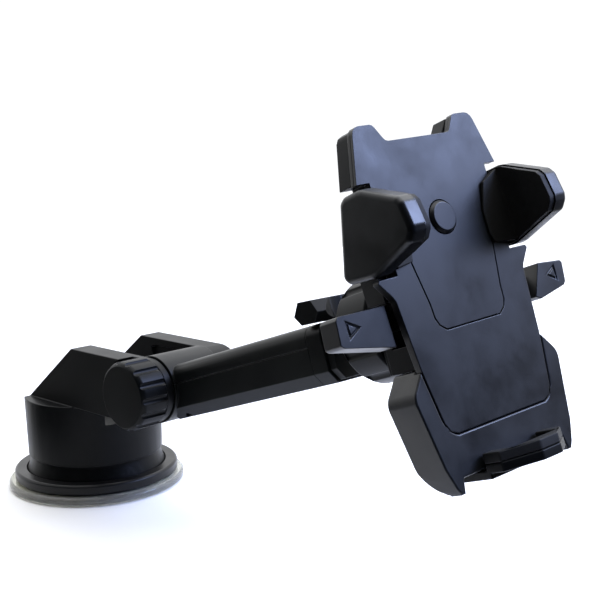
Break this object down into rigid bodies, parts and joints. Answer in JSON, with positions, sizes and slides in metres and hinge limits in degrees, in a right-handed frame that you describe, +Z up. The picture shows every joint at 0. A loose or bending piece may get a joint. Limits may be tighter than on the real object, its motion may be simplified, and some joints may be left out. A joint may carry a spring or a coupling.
{
  "type": "car phone mount",
  "caption": "Dashboard phone mount: lever suction base, tilting telescopic arm, ball joint and a spring cradle with side jaws, release tabs and a sliding foot.",
  "frame": {"origin": "centre of the gel pad's underside, on the dashboard", "axes": "+Z up from the dashboard, +X along the arm towards the cradle, hinge axes along Y"},
  "size_m": [0.31, 0.1131, 0.1776],
  "materials": {
    "gel": "clear sticky gel with a faint yellow rim",
    "cup": "satin black TPU",
    "base_shell": "fine satin black ABS",
    "arm_shell": "fine satin black ABS",
    "knob": "satin black ABS with ribs",
    "cradle_shell": "fine matte charcoal ABS",
    "cradle_back": "matte black ABS",
    "soft_rubber": "matte black rubber",
    "white_nylon": "natural acetal",
    "steel": "zinc plated steel",
    "brass": "turned brass"
  },
  "bodies": {
    "base": {"gel_pad": "gel", "suction_cup": "cup", "cup_collar": "base_shell", "base_housing": "base_shell", "pivot_bolt": "steel", "stem_spring": "steel"},
    "stem": {"pull_stem": "steel", "lever_pin": "steel"},
    "lever": {"suction_lever": "knob"},
    "hinge_knob": {"pivot_knob": "knob", "knob_insert": "brass"},
    "arm": {"arm_upper_shell": "arm_shell", "arm_lower_shell": "arm_shell", "arm_collar": "arm_shell", "arm_screws": "steel", "pivot_bush": "steel"},
    "arm_clamp": {"wing_knob": "knob", "clamp_screw": "steel"},
    "extension": {"inner_arm": "arm_shell", "ball_stud": "arm_shell"},
    "seat": {"ball_seat": "white_nylon"},
    "liner": {"friction_liner": "soft_rubber"},
    "cradle": {"ball_socket": "cradle_back", "socket_screws": "steel", "back_shell": "cradle_back", "lower_shell": "cradle_shell", "front_cover": "cradle_shell", "center_panel": "cradle_shell", "cradle_screws": "steel", "pinion_axle": "steel", "return_spring": "steel", "rocker_pin": "steel", "trigger_spring": "steel"},
    "nut": {"ring_nut": "knob"},
    "left_jaw": {"jaw_left": "cradle_shell", "jaw_pad_left": "soft_rubber"},
    "right_jaw": {"jaw_right": "cradle_shell", "jaw_pad_right": "soft_rubber"},
    "gear": {"pinion": "white_nylon"},
    "left_tab": {"tab_left": "cradle_shell"},
    "right_tab": {"tab_right": "cradle_shell"},
    "trigger": {"trigger_button": "cradle_shell"},
    "rocker": {"latch_rocker": "steel"},
    "foot": {"foot_slider": "cradle_back", "foot_pad": "soft_rubber"}
  },
  "joints": [
    {"name": "lever_turn", "type": "hinge", "parent": "stem", "child": "lever", "pos_m": [0, 0, 0.043], "axis": [0, 1, 0], "range_deg": [0, 65]},
    {"name": "stem_lift", "type": "slide", "parent": "base", "child": "stem", "axis": [0, 0, 1], "range_m": [-0.0022, 0]},
    {"name": "hinge_knob_turn", "type": "hinge", "parent": "base", "child": "hinge_knob", "pos_m": [0.0679, -0.025, 0.0592], "axis": [0, -1, 0], "range_deg": [0, 360]},
    {"name": "arm_tilt", "type": "hinge", "parent": "base", "child": "arm", "pos_m": [0.0679, 0, 0.0592], "axis": [0, -1, 0], "range_deg": [-25, 110]},
    {"name": "clamp_turn", "type": "hinge", "parent": "arm", "child": "arm_clamp", "pos_m": [0.16402, 0, 0.09956], "axis": [-0.3107, 0, 0.9505], "range_deg": [0, 45]},
    {"name": "arm_extend", "type": "slide", "parent": "arm", "child": "extension", "axis": [0.9505, 0, 0.3107], "range_m": [0, 0.05]},
    {"name": "ball_pan", "type": "hinge", "parent": "extension", "child": "seat", "pos_m": [0.1927, 0, 0.09999], "axis": [-0.3107, 0, 0.9505], "range_deg": [-12, 12]},
    {"name": "ball_tilt", "type": "hinge", "parent": "seat", "child": "liner", "pos_m": [0.1927, 0, 0.09999], "axis": [0, -1, 0], "range_deg": [-12, 12]},
    {"name": "cradle_spin", "type": "hinge", "parent": "liner", "child": "cradle", "pos_m": [0.1927, 0, 0.09999], "axis": [0.9357, -0.1232, 0.3305], "continuous": true},
    {"name": "nut_turn", "type": "hinge", "parent": "cradle", "child": "nut", "pos_m": [0.1927, 0, 0.09999], "axis": [0.9357, -0.1232, 0.3305], "range_deg": [0, 360]},
    {"name": "jaw_open", "type": "slide", "parent": "cradle", "child": "left_jaw", "axis": [-0.1056, -0.9919, -0.0708], "range_m": [0, 0.014], "stiffness_N_per_m": 150, "springref_m": -0.01},
    {"name": "jaw_right_open", "type": "slide", "parent": "cradle", "child": "right_jaw", "axis": [0.1056, 0.9919, 0.0708], "range_m": [0, 0.014]},
    {"name": "gear_turn", "type": "hinge", "parent": "cradle", "child": "gear", "pos_m": [0.2188, -0.00472, 0.12723], "axis": [0.9357, -0.1232, 0.3305], "range_deg": [0, 126]},
    {"name": "tab_left_press", "type": "slide", "parent": "cradle", "child": "left_tab", "axis": [0.1056, 0.9919, 0.0708], "range_m": [0, 0.00875]},
    {"name": "tab_right_press", "type": "slide", "parent": "cradle", "child": "right_tab", "axis": [-0.1056, -0.9919, -0.0708], "range_m": [0, 0.00875]},
    {"name": "trigger_press", "type": "slide", "parent": "cradle", "child": "trigger", "axis": [-0.9357, 0.1232, -0.3305], "range_m": [0, 0.0016], "stiffness_N_per_m": 400, "springref_m": -0.001, "deforming": ["trigger_spring"]},
    {"name": "rocker_turn", "type": "hinge", "parent": "cradle", "child": "rocker", "pos_m": [0.20967, -0.00502, 0.1451], "axis": [0.1056, 0.9919, 0.0708], "range_deg": [0, 11]},
    {"name": "foot_slide", "type": "slide", "parent": "cradle", "child": "foot", "axis": [0.3366, 0.0313, -0.9411], "range_m": [0, 0.025]}
  ],
  "couplings": [
    {"joint": "lever_turn", "follows": "stem_lift", "rad_per_m": -515.6},
    {"joint": "jaw_right_open", "follows": "jaw_open", "ratio": 1},
    {"joint": "gear_turn", "follows": "jaw_open", "rad_per_m": 156.25},
    {"joint": "tab_left_press", "follows": "jaw_open", "ratio": 0.625},
    {"joint": "tab_right_press", "follows": "jaw_open", "ratio": 0.625},
    {"joint": "rocker_turn", "follows": "trigger_press", "rad_per_m": 116}
  ]
}
